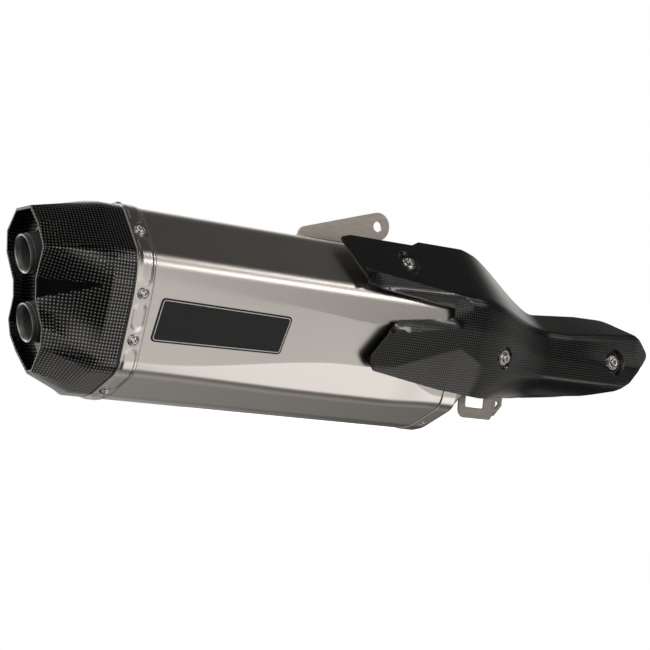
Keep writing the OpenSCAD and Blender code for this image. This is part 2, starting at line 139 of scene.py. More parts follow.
def build_surroundings():
    """Light by direction, which the camera itself sees as plain white."""
    world = bpy.data.worlds.new("studio")
    scene.world = world
    world.use_nodes = True
    nodes, links = world.node_tree.nodes, world.node_tree.links
    nodes.clear()
    direction = nodes.new("ShaderNodeTexCoord").outputs["Generated"]
    strength = None
    for centre, end, value in SOFT_BOXES:
        dot = nodes.new("ShaderNodeVectorMath")
        dot.operation = "DOT_PRODUCT"
        links.new(direction, dot.inputs[0])
        dot.inputs[1].default_value = Vector(centre).normalized()
        box = mapped(nodes, links, dot.outputs["Value"], math.cos(math.radians(end)), 1.0)
        added = nodes.new("ShaderNodeMath")
        added.operation = "MULTIPLY_ADD"
        links.new(box, added.inputs[0])
        added.inputs[1].default_value = value
        if strength is None:
            added.inputs[2].default_value = SURROUNDINGS
        else:
            links.new(strength, added.inputs[2])
        strength = added.outputs[0]
    lit = nodes.new("ShaderNodeBackground")
    lit.inputs["Color"].default_value = (*SOFT_TINT, 1)
    links.new(strength, lit.inputs["Strength"])
    seen = nodes.new("ShaderNodeBackground")
    seen.inputs["Color"].default_value = (1, 1, 1, 1)
    paths = nodes.new("ShaderNodeLightPath")
    both = nodes.new("ShaderNodeMixShader")
    links.new(paths.outputs["Is Camera Ray"], both.inputs[0])
    links.new(lit.outputs[0], both.inputs[1])
    links.new(seen.outputs[0], both.inputs[2])
    output = nodes.new("ShaderNodeOutputWorld")
    links.new(both.outputs[0], output.inputs["Surface"])


FLOOR_R = 0.66
FLOOR_GLOW = 0.97
FLOOR_MIDDLE = (300, 12, -100)
LOWEST_CORNER = (405, 52, -98.2)


def build_floor():
    """A pale disc square to the camera's upright, touching the sleeve's lowest front corner."""
    middle = placed(FLOOR_MIDDLE)
    up = Vector(CAMERA_UP)
    centre = middle - up * (middle - placed(LOWEST_CORNER)).dot(up)
    bpy.ops.mesh.primitive_circle_add(vertices=96, radius=FLOOR_R, fill_type="NGON")
    floor = bpy.context.object
    floor.name = "floor"
    floor.matrix_world = Matrix.Translation(centre) @ up.to_track_quat("Z", "Y").to_matrix().to_4x4()
    pale = bpy.data.materials.new("floor")
    pale.use_nodes = True
    shader = pale.node_tree.nodes["Principled BSDF"]
    shader.inputs["Base Color"].default_value = (0.8, 0.8, 0.8, 1)
    shader.inputs["Roughness"].default_value = 1
    shader.inputs["Specular IOR Level"].default_value = 0
    shader.inputs["Emission Color"].default_value = (1, 1, 1, 1)
    shader.inputs["Emission Strength"].default_value = FLOOR_GLOW
    floor.data.materials.append(pale)
    floor.visible_glossy = False
    floor.visible_diffuse = False


build_surroundings()
build_floor()

# ---------------------------------------------------------------- materials
COAT_IOR = 1.4


def material(name, colour, metallic=0.0, rough=0.5, coat=0.0, coat_rough=0.05):
    """A new material with its values set on the shader itself. Returns material, nodes, links, shader."""
    made = bpy.data.materials.new(name)
    made.use_nodes = True
    nodes, links = made.node_tree.nodes, made.node_tree.links
    shader = nodes["Principled BSDF"]
    shader.inputs["Base Color"].default_value = (*colour, 1)
    shader.inputs["Metallic"].default_value = metallic
    shader.inputs["Roughness"].default_value = rough
    shader.inputs["Coat Weight"].default_value = coat
    shader.inputs["Coat Roughness"].default_value = coat_rough
    shader.inputs["Coat IOR"].default_value = COAT_IOR
    return made, nodes, links, shader


def uniform(*values):
    """A material that is the same all over."""
    return material(*values)[0]


def streaks(nodes, links, stretch, detail=3.0):
    """Noise drawn out along the axes where stretch is small, in object space; a value near 0.5."""
    place = nodes.new("ShaderNodeTexCoord")
    scaled = nodes.new("ShaderNodeMapping")
    scaled.inputs["Scale"].default_value = stretch
    links.new(place.outputs["Object"], scaled.inputs["Vector"])
    noise = nodes.new("ShaderNodeTexNoise")
    noise.inputs["Scale"].default_value = 1
    noise.inputs["Detail"].default_value = detail
    links.new(scaled.outputs["Vector"], noise.inputs["Vector"])
    return noise.outputs["Fac"]


def bumped(nodes, links, shader, height, distance, strength=1.0):
    """Bumps the shader's surface by a height from 0 to 1 that stands for that distance in metres."""
    bump = nodes.new("ShaderNodeBump")
    bump.inputs["Distance"].default_value = distance
    bump.inputs["Strength"].default_value = strength
    links.new(height, bump.inputs["Height"])
    links.new(bump.outputs["Normal"], shader.inputs["Normal"])


# Values of the noise between which a streak goes from dark to light; its depth in metres, and its roughness
STREAK_RANGE = (0.3, 0.7)
BRUSH_DEPTH = 0.0000001
BRUSH_ROUGH = 0.006


def brushed_metal(name, dark, light, rough, stretch):
    """Metal whose colour and roughness vary a little along fine streaks."""
    made, nodes, links, shader = material(name, light, metallic=1.0, rough=rough)
    streak = streaks(nodes, links, stretch)
    tone = mapped(nodes, links, streak, *STREAK_RANGE)
    links.new(mixed(nodes, links, tone, dark, light), shader.inputs["Base Color"])
    varied = nodes.new("ShaderNodeMapRange")
    varied.inputs["To Min"].default_value = rough - BRUSH_ROUGH
    varied.inputs["To Max"].default_value = rough + BRUSH_ROUGH
    links.new(streak, varied.inputs["Value"])
    links.new(varied.outputs["Result"], shader.inputs["Roughness"])
    bumped(nodes, links, shader, streak, BRUSH_DEPTH)
    return made


# Height of the cloth's two waves together where a crossing begins and where it is full
CROSSING_RANGE = (0.3, 1.7)
CLOTH_DEPTH = 0.00004


def woven(name, dark, light, pitch):
    """Clear-coated carbon. Its crossings stand that pitch apart, in metres of the piece's weave map."""
    made, nodes, links, shader = material(name, dark, metallic=1.0, rough=0.42, coat=1.0, coat_rough=0.03)
    place = nodes.new("ShaderNodeUVMap")
    place.uv_map = "weave"
    split = nodes.new("ShaderNodeSeparateXYZ")
    links.new(place.outputs["UV"], split.inputs["Vector"])
    waves = []
    for axis in ("X", "Y"):
        scaled = nodes.new("ShaderNodeMath")
        scaled.operation = "MULTIPLY"
        scaled.inputs[1].default_value = 2 * math.pi / pitch
        links.new(split.outputs[axis], scaled.inputs[0])
        wave = nodes.new("ShaderNodeMath")
        wave.operation = "COSINE"
        links.new(scaled.outputs[0], wave.inputs[0])
        waves.append(wave.outputs[0])
    crossing = nodes.new("ShaderNodeMath")
    crossing.operation = "SUBTRACT"
    links.new(waves[0], crossing.inputs[0])
    links.new(waves[1], crossing.inputs[1])
    over = mapped(nodes, links, crossing.outputs[0], *CROSSING_RANGE)
    links.new(mixed(nodes, links, over, dark, light), shader.inputs["Base Color"])
    bumped(nodes, links, shader, over, CLOTH_DEPTH, 0.5)
    return made


BLOTCH_RANGE = (0.35, 0.65)
FIBRE_DEPTH = 0.0004


def fibrous(name, dark, light, scale):
    """Matt fibre in two shades, with blotches of that frequency per metre."""
    made, nodes, links, shader = material(name, light, rough=0.9)
    blotch = streaks(nodes, links, (scale, scale, scale), 5.0)
    tone = mapped(nodes, links, blotch, *BLOTCH_RANGE)
    links.new(mixed(nodes, links, tone, dark, light), shader.inputs["Base Color"])
    bumped(nodes, links, shader, blotch, FIBRE_DEPTH)
    return made


# Distances from the weld, in metres, at which each tint of the heated pipe begins and is full
STRAW_REACH = (0.025, 0.006)
BLUE_REACH = (0.009, 0.003)


def heated(name, cool, straw, blue, rough):
    """Titanium tinted by heat: straw, then blue, towards the weld in the middle of the pipe."""
    made, nodes, links, shader = material(name, cool, metallic=1.0, rough=rough)
    place = nodes.new("ShaderNodeTexCoord")
    split = nodes.new("ShaderNodeSeparateXYZ")
    links.new(place.outputs["Object"], split.inputs["Vector"])
    gap = nodes.new("ShaderNodeMath")
    gap.operation = "SUBTRACT"
    links.new(split.outputs["X"], gap.inputs[0])
    gap.inputs[1].default_value = sum(corner.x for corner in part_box("pipe_weld")) / 2
    away = nodes.new("ShaderNodeMath")
    away.operation = "ABSOLUTE"
    links.new(gap.outputs[0], away.inputs[0])
    to_straw = mapped(nodes, links, away.outputs[0], *STRAW_REACH)
    to_blue = mapped(nodes, links, away.outputs[0], *BLUE_REACH)
    tint = mixed(nodes, links, to_straw, cool, straw)
    links.new(mixed(nodes, links, to_blue, tint, blue), shader.inputs["Base Color"])
    return made


ROUND_STREAKS = (900, 20, 20)
# What makes each look, and the values it takes after the name
LOOK_VALUES = {
    "titanium_brushed": (brushed_metal, (0.62, 0.59, 0.56), (0.63, 0.60, 0.57), 0.28, ROUND_STREAKS),
    "titanium_band": (brushed_metal, (0.62, 0.59, 0.56), (0.66, 0.63, 0.60), 0.24, ROUND_STREAKS),
    "titanium_raw": (brushed_metal, (0.46, 0.43, 0.40), (0.56, 0.53, 0.50), 0.32, (300, 300, 300)),
    "titanium_heated": (heated, (0.55, 0.52, 0.48), (0.60, 0.45, 0.25), (0.20, 0.24, 0.42), 0.25),
    "titanium_bracket": (brushed_metal, (0.40, 0.36, 0.32), (0.48, 0.44, 0.40), 0.38, (60, 60, 900)),
    "weld_bead": (brushed_metal, (0.30, 0.29, 0.33), (0.50, 0.46, 0.42), 0.35, (500, 900, 900)),
    "stainless": (brushed_metal, (0.62, 0.61, 0.60), (0.74, 0.73, 0.72), 0.20, (900, 900, 900)),
    # The cap and the shield share one carbon cloth in two tones: the cap's lighter crossings are painted light,
    # and the shield's darker copy is painted shade.
    "carbon_gloss": (woven, (0.008, 0.008, 0.008), (0.34, 0.335, 0.33), 0.0032),
    "carbon_shield": (woven, (0.010, 0.010, 0.010), (0.09, 0.089, 0.088), 0.0027),
    "outlet_dark": (uniform, (0.16, 0.16, 0.16), 0.4, 0.38),
    "outlet_lip": (uniform, (0.62, 0.62, 0.61), 1.0, 0.3),
    "glass_packing": (fibrous, (0.45, 0.38, 0.24), (0.70, 0.63, 0.46), 220),
    "insulator": (fibrous, (0.42, 0.36, 0.26), (0.55, 0.49, 0.38), 500),
    "badge_line": (uniform, (0.85, 0.85, 0.83), 0.0, 0.4),
    "badge_black": (uniform, (0.006, 0.006, 0.0065), 0.0, 0.6, 0.1, 0.3),
}
LOOKS = {name: make(name, *values) for name, (make, *values) in LOOK_VALUES.items()}


def dress(obj, look):
    """Gives a piece one of LOOKS, and its slot in the record."""
    obj.data.materials.clear()
    obj.data.materials.append(LOOKS[look])
    return obj


SLOT_OF = {s["node"]: s["material_slot"] for s in frame["record"]["subparts"]}
for node, obj in frame["nodes"].items():
    dress(obj, SLOT_OF[node])


# ---------------------------------------------------------------- meshes
MERGE_GAP = 0.00001


def built(name, points, faces, node, sharp=32.0, bevel=0.0, levels=2):
    """A smooth-shaded piece from muffler-frame points, standing for a CAD node and taking its finish."""
    mesh = bpy.data.meshes.new(name)
    mesh.from_pydata([placed(p) for p in points], [], faces)
    mesh.update()
    solid = bmesh.new()
    solid.from_mesh(mesh)
    bmesh.ops.remove_doubles(solid, verts=solid.verts, dist=MERGE_GAP)
    bmesh.ops.recalc_face_normals(solid, faces=solid.faces)
    for face in solid.faces:
        face.smooth = True
    for edge in solid.edges:
        if len(edge.link_faces) == 2 and edge.calc_face_angle(0) > math.radians(sharp):
            edge.smooth = False
    solid.to_mesh(mesh)
    solid.free()
    obj = bpy.data.objects.new(name, mesh)
    scene.collection.objects.link(obj)
    if bevel:
        soften = obj.modifiers.new("bevel", "BEVEL")
        soften.width = bevel * MM
        soften.segments = levels
        soften.limit_method = "ANGLE"
        soften.angle_limit = math.radians(sharp)
    even = obj.modifiers.new("weighted", "WEIGHTED_NORMAL")
    even.keep_sharp = not bevel
    dress(obj, SLOT_OF[node])
    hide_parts(node)
    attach(obj, "root")
    return obj


def grid_faces(rows, columns, wrap_rows=False):
    """Quads of a grid of points listed row by row. Each row is a ring, and with wrap_rows so is each column."""
    faces = []
    for i in range(rows if wrap_rows else rows - 1):
        for j in range(columns):
            k, m = (i + 1) % rows, (j + 1) % columns
            faces.append((i * columns + j, i * columns + m, k * columns + m, k * columns + j))
    return faces


def looped(rings):
    """Points and faces of a closed surface through rings of points, from the last ring back to the first."""
    return [tuple(p) for ring in rings for p in ring], grid_faces(len(rings), len(rings[0]), wrap_rows=True)


def joined(parts):
    """The points and faces of several pieces as one list of each."""
    points, faces = [], []
    for more, its_faces in parts:
        start = len(points)
        points += more
        faces += [tuple(start + i for i in f) for f in its_faces]
    return points, faces


def inside(point, loop):
    """Whether a 2D point is inside a closed loop."""
    x, y = point
    odd = False
    for (ax, ay), (bx, by) in zip(loop, loop[1:] + loop[:1]):
        if (ay > y) != (by > y) and x < (bx - ax) * (y - ay) / (by - ay) + ax:
            odd = not odd
    return odd


def filled(loops, extra=(), lines=()):
    """Triangles that fill the first loop less the others. extra are inner points and lines are kept creases."""
    points = [Vector(p) for loop in loops for p in loop]
    edges = []
    start = 0
    for loop in loops:
        edges += [(start + i, start + (i + 1) % len(loop)) for i in range(len(loop))]
        start += len(loop)
    for line in lines:
        points += [Vector(p) for p in line]
        edges += [(start + i, start + i + 1) for i in range(len(line) - 1)]
        start += len(line)
    points += [Vector(p) for p in extra]
    found, _, triangles, *_ = delaunay_2d_cdt(points, edges, [], 0, 1e-5)
    kept = []
    for tri in triangles:
        middle = sum((found[i] for i in tri), Vector((0, 0))) / 3
        if inside(middle, loops[0]) and not any(inside(middle, hole) for hole in loops[1:]):
            kept.append(tuple(tri))
    return [tuple(p) for p in found], kept


def thick(front, back, triangles):
    """Closed sheet between two lists of matching points: points and faces."""
    n = len(front)
    count = {}
    for tri in triangles:
        for a, b in zip(tri, tri[1:] + tri[:1]):
            count[frozenset((a, b))] = count.get(frozenset((a, b)), 0) + 1
    faces = list(triangles) + [tuple(n + i for i in reversed(tri)) for tri in triangles]
    for tri in triangles:
        for a, b in zip(tri, tri[1:] + tri[:1]):
            if count[frozenset((a, b))] == 1:
                faces.append((b, a, n + a, n + b))
    return list(front) + list(back), faces


def circle(centre, r, n=32):
    """Points of a circle in a plane."""
    return [(centre[0] + r * math.cos(2 * math.pi * i / n), centre[1] + r * math.sin(2 * math.pi * i / n))
            for i in range(n)]


NEARLY_STRAIGHT = 1.55


def rounded(points, radii, steps=5):
    """A closed outline with its corners turned into arcs: one radius for all, or one for each corner."""
    out = []
    n = len(points)
    for i in range(n):
        here = Vector(points[i])
        r = radii[i] if isinstance(radii, (list, tuple)) else radii
        to_last = (Vector(points[i - 1]) - here).normalized()
        to_next = (Vector(points[(i + 1) % n]) - here).normalized()
        half = math.acos(max(-1, min(1, to_last.dot(to_next)))) / 2
        if r <= 0 or half > NEARLY_STRAIGHT:
            out.append(tuple(here))
            continue
        middle = here + (to_last + to_next).normalized() * (r / math.sin(half))
        a = here + to_last * (r / math.tan(half)) - middle
        b = here + to_next * (r / math.tan(half)) - middle
        turn = a.angle_signed(b)
        for k in range(steps + 1):
            angle = -turn * k / steps
            out.append(tuple(middle + Matrix.Rotation(angle, 2) @ a))
    return out


# ---------------------------------------------------------------- the sleeve's section
# Directions, as (y, z), of the sleeve's bottom side and of the facet under its lower crease
BOTTOM_SLOPE = Vector((51, -23.5)).normalized()
FACET = Vector((0.407, -0.914))
SLEEVE_LEN = 405
BAND_W = 20


def ease(t):
    """Goes smoothly from 0 to 1 as t does."""
    t = min(1.0, max(0.0, t))
    return t * t * (3 - 2 * t)


def between(x, start, end):
    """Goes smoothly from 0 at start to 1 at end."""
    return ease((x - start) / (end - start))


def section(x):
    """Corners (y, z, radius) of the sleeve at x. Two creases on the outer side sharpen towards the front."""
    grow = between(x, 30, 260) * (1 - between(x, 310, 380))
    side_z = 15 - 6 * between(x, 170, 280)
    side_r = 8 + 110 * (1 - between(x, 10, 200))
    lean = Vector((21, -68 - side_z)).normalized()
    low_z = -58 + 22 * grow
    low = Vector((-50, side_z)) + lean * ((low_z - side_z) / lean.y)
    # where the facet below the crease meets the bottom side
    gap = Vector((-29, -68)) - low
    along = gap.x * BOTTOM_SLOPE.y - gap.y * BOTTOM_SLOPE.x
    along /= FACET.x * BOTTOM_SLOPE.y - FACET.y * BOTTOM_SLOPE.x
    foot = low + FACET * along
    return [(-50, side_z, side_r), (-50, 42, 25), (-4, 92, 25), (50, 96, 20), (70, 70, 18), (72, -60, 25),
            (52, -97, 20), (22, -91.5, 40), (foot.x, foot.y, 18), (low.x, low.y, 20 - 12 * grow)]


ARC_STEPS = 8


def outline(x, inset=0.0):
    """Points of the section at x, moved inwards by inset, and the outward normal at each."""
    corners = section(x)
    points, normals = [], []
    for i, (y, z, r) in enumerate(corners):
        here = Vector((y, z))
        before = (here - Vector(corners[i - 1][:2])).normalized()
        after = (Vector(corners[(i + 1) % len(corners)][:2]) - here).normalized()
        turn = math.acos(max(-1, min(1, before.dot(after))))
        out = Vector((-before.y, before.x))
        centre = here - out * r - before * (r * math.tan(turn / 2))
        start = math.atan2(out.y, out.x)
        for k in range(ARC_STEPS + 1):
            a = start - turn * k / ARC_STEPS
            normal = Vector((math.cos(a), math.sin(a)))
            points.append(centre + normal * (r - inset))
            normals.append(normal)
    return points, normals


def spread(low, high, step):
    """Even values from low to high, about a step apart."""
    n = max(1, round((high - low) / step))
    return [low + (high - low) * i / n for i in range(n + 1)]


SHEET = 1.0


def build_sleeve():
    """The sleeve's sheet, open at both ends."""
    xs = spread(0, SLEEVE_LEN, 5)
    rings = [[(x, *p) for p in outline(x)[0]] for x in xs]
    rings += [[(x, *p) for p in outline(x, SHEET)[0]] for x in reversed(xs)]
    built("sleeve", *looped(rings), "outer_sleeve")


def core_bore(which):
    """Centre (y, z) of a core tube."""
    low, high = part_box("core_tube_" + which)
    middle = (low + high) / 2 - MUFFLER
    return middle.y / MM, middle.z / MM


CORES = [core_bore("upper"), core_bore("lower")]
CORE_R, REAR_BORE_R = 21, 18
REAR_BAFFLE_X, FRONT_BAFFLE_X, BAFFLE_T = 24, 360, 1.5


def with_bores(name, node, xs, inset, r):
    """A solid plug of the sleeve's section with a bore for each core tube."""
    bores = [circle(c, r, 40) for c in CORES]
    rings = [[(x, *p) for p in outline(x, inset)[0]] for x in xs]
    parts = []
    for x in (xs[0], xs[-1]):
        flat, triangles = filled([[tuple(p) for p in outline(x, inset)[0]], *bores])
        parts.append(([(x, *p) for p in flat], triangles))
    parts.append(([p for ring in rings for p in ring], grid_faces(len(rings), len(rings[0]))))
    for bore in bores:
        parts.append(([(x, *p) for x in (xs[0], xs[-1]) for p in bore], grid_faces(2, len(bore))))
    built(name, *joined(parts), node)


def build_inside():
    """The packing between the two baffles."""
    packing_from = REAR_BAFFLE_X + BAFFLE_T
    with_bores("packing", "packing_mat", spread(packing_from, FRONT_BAFFLE_X, 12), SHEET + 0.2, CORE_R)
    with_bores("baffle_rear", "rear_baffle", [REAR_BAFFLE_X, packing_from], SHEET, REAR_BORE_R)
    with_bores("baffle_front", "front_baffle", [FRONT_BAFFLE_X, FRONT_BAFFLE_X + BAFFLE_T], SHEET, CORE_R)


build_sleeve()
build_inside()

# ---------------------------------------------------------------- bands, with pads between the fasteners
# Where the fasteners are: a side of the section, and the share of it up to the fastener
PLACES = [(1, 0.49), (8, 0.9), (8, 0.37), (7, 0.2), (2, 0.55), (4, 0.15), (4, 0.62), (5, 0.5)]
CAD_CORNERS = [(-50, 15), (-50, 42), (-4, 92), (50, 96), (70, 70), (72, -60), (52, -97), (22, -91.5),
               (-29, -68)]


def side_point(place, lift=0.0):
    """Point (y, z) on a side of the section and that side's outward normal."""
    i, share = place
    a, b = Vector(CAD_CORNERS[i]), Vector(CAD_CORNERS[(i + 1) % len(CAD_CORNERS)])
    step = (b - a).normalized()
    normal = Vector((-step.y, step.x))
    return a + (b - a) * share + normal * lift, normal


def resampled(points, normals, step):
    """The closed outline cut into steps of nearly equal length: points, normals and distance along it."""
    out, at = [], 0.0
    n = len(points)
    for i in range(n):
        a, b = points[i], points[(i + 1) % n]
        na, nb = normals[i], normals[(i + 1) % n]
        length = (b - a).length
        if length < 1e-6:
            continue
        parts = max(1, round(length / step))
        for k in range(parts):
            t = k / parts
            out.append((a.lerp(b, t), na.lerp(nb, t).normalized(), at + length * t))
        at += length
    return out, at


BAND_T, PAD_T = 1.0, 0.7
# Width of a band's rolled lips, and the share of its thickness left at their edge
LIP_W, LIP_SHARE = 0.9, 0.35
# A pad's half width, its half width at its ends, how fast it widens from there, and the run of its sloping edge
PAD_HALF_W, PAD_END_HALF_W, PAD_TAPER, PAD_SLOPE = 6.6, 2.5, 0.9, 1.2
PAD_TO_SCREW = 9.5


def band(name, node, x_from, pads):
    """A strap round the sleeve with a rolled lip at each edge and, if asked, pads between its fasteners."""
    middle, x_to = x_from + BAND_W / 2, x_from + BAND_W
    ring, total = resampled(*outline(middle), 2.0)
    holes = []
    for place in PLACES:
        at = side_point(place)[0]
        holes.append(min(ring, key=lambda item: (item[0] - at).length)[2])

    def lift(x, s):
        """Height over the sleeve: the strap, its lips and its pads."""
        across = abs(x - middle)
        edge = min(1.0, (BAND_W / 2 - across) / LIP_W)
        height = BAND_T * (LIP_SHARE + (1 - LIP_SHARE) * edge)
        if pads:
            away = min(min(abs(s - h), total - abs(s - h)) for h in holes)
            cut = PAD_TO_SCREW + max(0.0, across - PAD_END_HALF_W) * PAD_TAPER
            height += PAD_T * ease(min(PAD_HALF_W - across, away - cut) / PAD_SLOPE)
        return height

    xs = [x_from, x_from + LIP_W, *spread(x_from + 2, x_to - 2, 1.2), x_to - LIP_W, x_to]
    rings = [[(x, *(p + n * lift(x, s))) for p, n, s in ring] for x in xs]
    rings += [[(x, *p) for p, n, s in ring] for x in reversed(xs)]
    built(name, *looped(rings), node, sharp=50)


band("band_rear", "rear_band", 0, True)
band("band_front", "front_band", SLEEVE_LEN - BAND_W, False)


# ---------------------------------------------------------------- turned pieces
def turned_rings(profile, steps=32):
    """Rings of a turned shape from (radius, height, corners): corners is 0 for round or 6 for a hexagon."""
    rings = []
    for r, h, corners in profile:
        ring = []
        for i in range(steps):
            a = 2 * math.pi * i / steps
            reach = r
            if corners:
                sector = 2 * math.pi / corners
                reach = r * math.cos(sector / 2) / math.cos((a % sector) - sector / 2)
            ring.append((reach * math.cos(a), reach * math.sin(a), h))
        rings.append(ring)
    return rings


def turned(profile, place, steps=32):
    """Points and faces of a turned shape put in place by a matrix, with a face at each end of its profile."""
    rings = turned_rings(profile, steps)
    points = [tuple(place @ Vector(p)) for ring in rings for p in ring]
    faces = grid_faces(len(rings), steps)
    faces.append(tuple(range(steps)))
    faces.append(tuple(range((len(rings) - 1) * steps, len(rings) * steps)))
    return points, faces


def facing(point, normal, roll=0.0):
    """Matrix that puts a shape drawn along +Z at a point, along a normal."""
    turn = Vector(normal).to_track_quat("Z", "Y").to_matrix().to_4x4()
    return Matrix.Translation(Vector(point)) @ turn @ Matrix.Rotation(roll, 4, "Z")


def ring_shape(profile, place, steps=32):
    """Like turned, for a profile that closes on itself round a hole."""
    return looped([[place @ Vector(p) for p in ring] for ring in turned_rings(profile, steps)])


# Profiles of the fasteners: radius, height, and the number of corners, where 0 is round
CUP = [(2.6, 0, 0), (5.6, 0, 0), (5.9, 0.5, 0), (5.7, 1.3, 0), (5.3, 1.7, 0), (4.9, 1.7, 0), (4.5, 1.2, 0),
       (4.3, 0.7, 0), (2.6, 0.6, 0)]
CUP_FLOOR = 0.7
BUTTON = [(2.4, -10, 0), (2.4, 0, 0), (4.0, 0, 0), (4.1, 0.4, 0), (4.0, 0.9, 0), (3.6, 1.6, 0), (3.0, 2.1, 0),
          (2.4, 2.35, 0), (2.0, 2.4, 0), (1.75, 2.2, 6), (1.7, 0.9, 6)]
RIVET = [(1.6, -3, 0), (1.6, 0, 0), (3.2, 0, 0), (3.2, 0.3, 0), (2.9, 0.9, 0), (2.2, 1.25, 0), (1.2, 1.4, 0)]


def build_band_fasteners():
    """Screws in cups round the rear band, each turned its own way, and rivets round the front band."""
    cups, screws, rivets = [], [], []
    for i, spot in enumerate(PLACES):
        foot, normal = side_point(spot, BAND_T)
        seat, _ = side_point(spot, BAND_T + CUP_FLOOR)
        out = (0, *normal)
        cups.append(ring_shape(CUP, facing((BAND_W / 2, *foot), out)))
        screws.append(turned(BUTTON, facing((BAND_W / 2, *seat), out, 0.3 + i), 36))
        rivets.append(turned(RIVET, facing((SLEEVE_LEN - BAND_W / 2, *foot), out)))
    built("screw_cups", *joined(cups), "rear_cups", sharp=60)
    built("screws_rear", *joined(screws), "rear_screws", sharp=45)
    built("rivets", *joined(rivets), "front_rivets", sharp=60)


build_band_fasteners()

# ---------------------------------------------------------------- end cap
MOUTH_X, MOUTH_LEAN = -83, 0.14
COLLAR = -22
CAP_WALL = 3.0
COLLAR_GAP = 0.4
# The floor round the outlets: its share of the way from collar to mouth, and its thickness
FLOOR_SHARE, FLOOR_T = 0.8, 2.5
# Corners of the mouth, each with the point of the collar it is joined to. The first two bound the waist.
SPOKES = [
    ((-14.7, -8), (-50, 13)), ((-16.5, 9.5), (-50, 13)), ((-36, 38), (-47.5, 41)), ((-24, 61), (-16, 79)),
    ((-8, 77), (4, 92.5)), ((26, 76), (42, 95.5)), ((50, 57), (61, 82)), ((53, 36), (70.3, 52)),
    ((39, 9), (71, 12)), ((40, -6), (71, 12)), ((53, -27), (71.6, -45)), ((50, -43), (69, -68)),
    ((37, -58), (53, -95)), ((12, -78), (36, -94)), ((0, -76), (8, -85)), ((-23, -53), (-24, -68)),
    ((-27, -35), (-33, -52)), ((-19, -19), (-39, -30)),
]


def mouth_x(z):
    """Where the leaning plane of the mouth passes a height."""
    return MOUTH_X - MOUTH_LEAN * z


def polygon_normals(points):
    """Outward miter vectors of a closed polygon that runs clockwise seen from the rear, for an inset of 1."""
    out = []
    n = len(points)
    for i in range(n):
        a = (Vector(points[i]) - Vector(points[i - 1])).normalized()
        b = (Vector(points[(i + 1) % n]) - Vector(points[i])).normalized()
        na, nb = Vector((-a.y, a.x)), Vector((-b.y, b.x))
        both = (na + nb).normalized()
        out.append(both / max(0.5, both.dot(na)))
    return out


def cap_spokes():
    """Matching points of collar and mouth all round: (collar point, its normal, mouth point, its normal)."""
    points, normals = outline(0)
    ring, total = resampled(points, normals, 4.0)
    miters = polygon_normals([m for m, _ in SPOKES])
    anchors = []
    for (m, c), miter in zip(SPOKES, miters):
        near = min(ring, key=lambda item: (item[0] - Vector(c)).length)
        anchors.append((near, Vector(m), miter))
    spokes = []
    n = len(anchors)
    for i in range(n):
        (c, cn, s), m, mn = anchors[i]
        (_, _, s_next), m_next, mn_next = anchors[(i + 1) % n]
        spokes.append((c, cn, m, mn))
        reach = (s_next - s) % total
        for p, pn, at in sorted(ring, key=lambda item: (item[2] - s) % total):
            gone = (at - s) % total
            if 0.5 < gone < reach - 0.5:
                t = gone / reach
                spokes.append((p, pn, m.lerp(m_next, t), mn.lerp(mn_next, t)))
    return spokes


def cap_point(spoke, t, inset):
    """A point of the cap at share t from collar to mouth, moved inwards."""
    c, cn, m, mn = spoke
    a = Vector((COLLAR, *(c - cn * inset)))
    inner = m - mn * inset
    b = Vector((mouth_x(m.y), *inner))
    return a.lerp(b, t)


# Corners of the sides that the cloth is laid on. A face belongs to the end if its normal's x is past END_ON.
WEAVE_SIDES = [(-50, 28), (-4, 92), (50, 96), (70, 70), (72, -60), (52, -97), (22, -91.5), (-29, -68)]
END_ON = 0.8


def on_painted_dark_waist(p):
    """Whether a point of the end cap is on the flat that runs from the mouth's waist to the collar, which is
    painted plain in the cloth's dark tone as painted shade.
    """
    ((_, low), (_, start)), ((_, high), _) = SPOKES[:2]
    share = (p.x - COLLAR) / (mouth_x(p.z) - COLLAR)
    on_flat = start + (low - start) * share < p.z < start + (high - start) * share
    return p.y < 0 and 0.05 < share < 1 and on_flat


def weave_by_side(obj, bare=None):
    """Gives the piece a weave map: the cloth lies flat on each side of the muffler, its rows along the muffler.

    Faces that look along the muffler take the map of its end, and faces that bare() picks show no crossings,
    only the cloth's dark tone, as painted shade.
    """
    sides = []
    for a, b in zip(WEAVE_SIDES, WEAVE_SIDES[1:] + WEAVE_SIDES[:1]):
        along = (Vector(b) - Vector(a)).normalized()
        sides += [along, -along]
    layer = obj.data.uv_layers.new(name="weave")
    for face in obj.data.polygons:
        n = face.normal
        across = max(sides, key=lambda side: n.z * side.x - n.y * side.y)
        # faces that bare() picks get the cloth's dark tone alone: painted shade
        smooth = bare is not None and bare((face.center - MUFFLER) / MM)
        for loop in face.loop_indices:
            p = obj.data.vertices[obj.data.loops[loop].vertex_index].co
            place = (p.y, p.z) if abs(n.x) > END_ON else (p.x, p.y * across.x + p.z * across.y)
            layer.data[loop].uv = (0, 0) if smooth else place


OUTLET_R = 19.3
TILT = math.radians(14)
# Centre of each outlet's rim
RIMS = {"upper": (-90.3, 8, 32.3), "lower": (-81.4, 8, -31.2)}
# Radius and height of an outlet's wall, round from the foot of its bore
OUTLET = [(14.6, 30), (14.6, 6.5), (14.9, 4.6), (15.8, 2.4), (17.0, 0.7), (17.6, 0.1), (18.1, 0), (18.6, 0.3),
          (18.95, 1.1), (18.95, 3.4), (18.6, 3.8), (18.6, 4.6), (19.1, 5.0), (OUTLET_R, 6.0), (OUTLET_R, 140),
          (17.8, 140), (17.8, 33)]
LIP_DEPTH = 0.6


def outlet_at(which, x):
    """Where an outlet's axis passes a given x: (y, z)."""
    rim = RIMS[which]
    return rim[1], rim[2] + (x - rim[0]) * math.tan(TILT)


